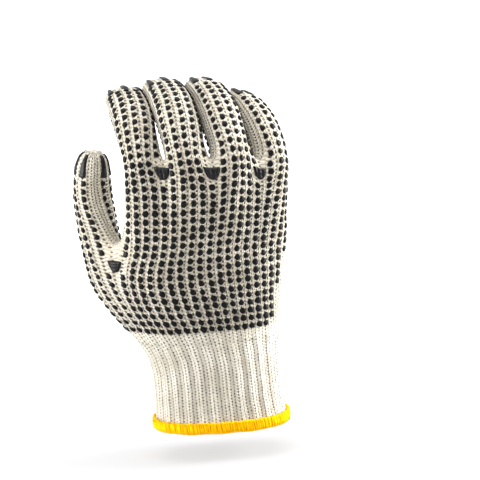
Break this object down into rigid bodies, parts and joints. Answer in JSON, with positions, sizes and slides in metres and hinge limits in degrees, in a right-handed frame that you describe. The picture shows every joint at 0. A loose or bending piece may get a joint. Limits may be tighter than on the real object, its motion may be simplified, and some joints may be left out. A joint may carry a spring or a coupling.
{
  "type": "cotton work glove",
  "caption": "String knit cotton work glove with PVC grip dots on both faces, ribbed knit cuff and yellow overlocked hem, right hand, in its worn shape.",
  "frame": {"origin": "centre of the wrist opening, in the plane of the hem's free edge", "axes": "+Z from the wrist opening up through the fingers, -Y out of the back of the hand, -X toward the thumb"},
  "size_m": [0.1379, 0.083, 0.2236],
  "materials": {
    "knit": "matte",
    "hem_thread": "matte",
    "grip_pvc": "satin"
  },
  "bodies": {
    "root": {"knitted_heel": "knit", "knitted_palm": "knit", "knitted_index": "knit", "knitted_middle": "knit", "knitted_ring": "knit", "knitted_little": "knit", "knitted_thumb": "knit", "rib_cuff": "knit", "overlocked_hem": "hem_thread", "back_patch_index_middle": "grip_pvc", "back_patch_middle_ring": "grip_pvc", "back_patch_ring_little": "grip_pvc", "back_patch_thumb": "grip_pvc", "palm_patch_index_middle": "grip_pvc", "palm_patch_middle_ring": "grip_pvc", "palm_patch_ring_little": "grip_pvc", "palm_patch_thumb": "grip_pvc", "index_back_bar_near": "grip_pvc", "index_back_bar_middle": "grip_pvc", "index_back_bar_far": "grip_pvc", "index_palm_bar_near": "grip_pvc", "index_palm_bar_middle": "grip_pvc", "index_palm_bar_far": "grip_pvc", "middle_back_bar_near": "grip_pvc", "middle_back_bar_middle": "grip_pvc", "middle_back_bar_far": "grip_pvc", "middle_palm_bar_near": "grip_pvc", "middle_palm_bar_middle": "grip_pvc", "middle_palm_bar_far": "grip_pvc", "ring_back_bar_near": "grip_pvc", "ring_back_bar_middle": "grip_pvc", "ring_back_bar_far": "grip_pvc", "ring_palm_bar_near": "grip_pvc", "ring_palm_bar_middle": "grip_pvc", "ring_palm_bar_far": "grip_pvc", "little_back_bar_near": "grip_pvc", "little_back_bar_middle": "grip_pvc", "little_back_bar_far": "grip_pvc", "little_palm_bar_near": "grip_pvc", "little_palm_bar_middle": "grip_pvc", "little_palm_bar_far": "grip_pvc", "thumb_back_bar_near": "grip_pvc", "thumb_back_bar_middle": "grip_pvc", "thumb_back_bar_far": "grip_pvc", "thumb_palm_bar_near": "grip_pvc", "thumb_palm_bar_middle": "grip_pvc", "thumb_palm_bar_far": "grip_pvc"}
  },
  "joints": []
}
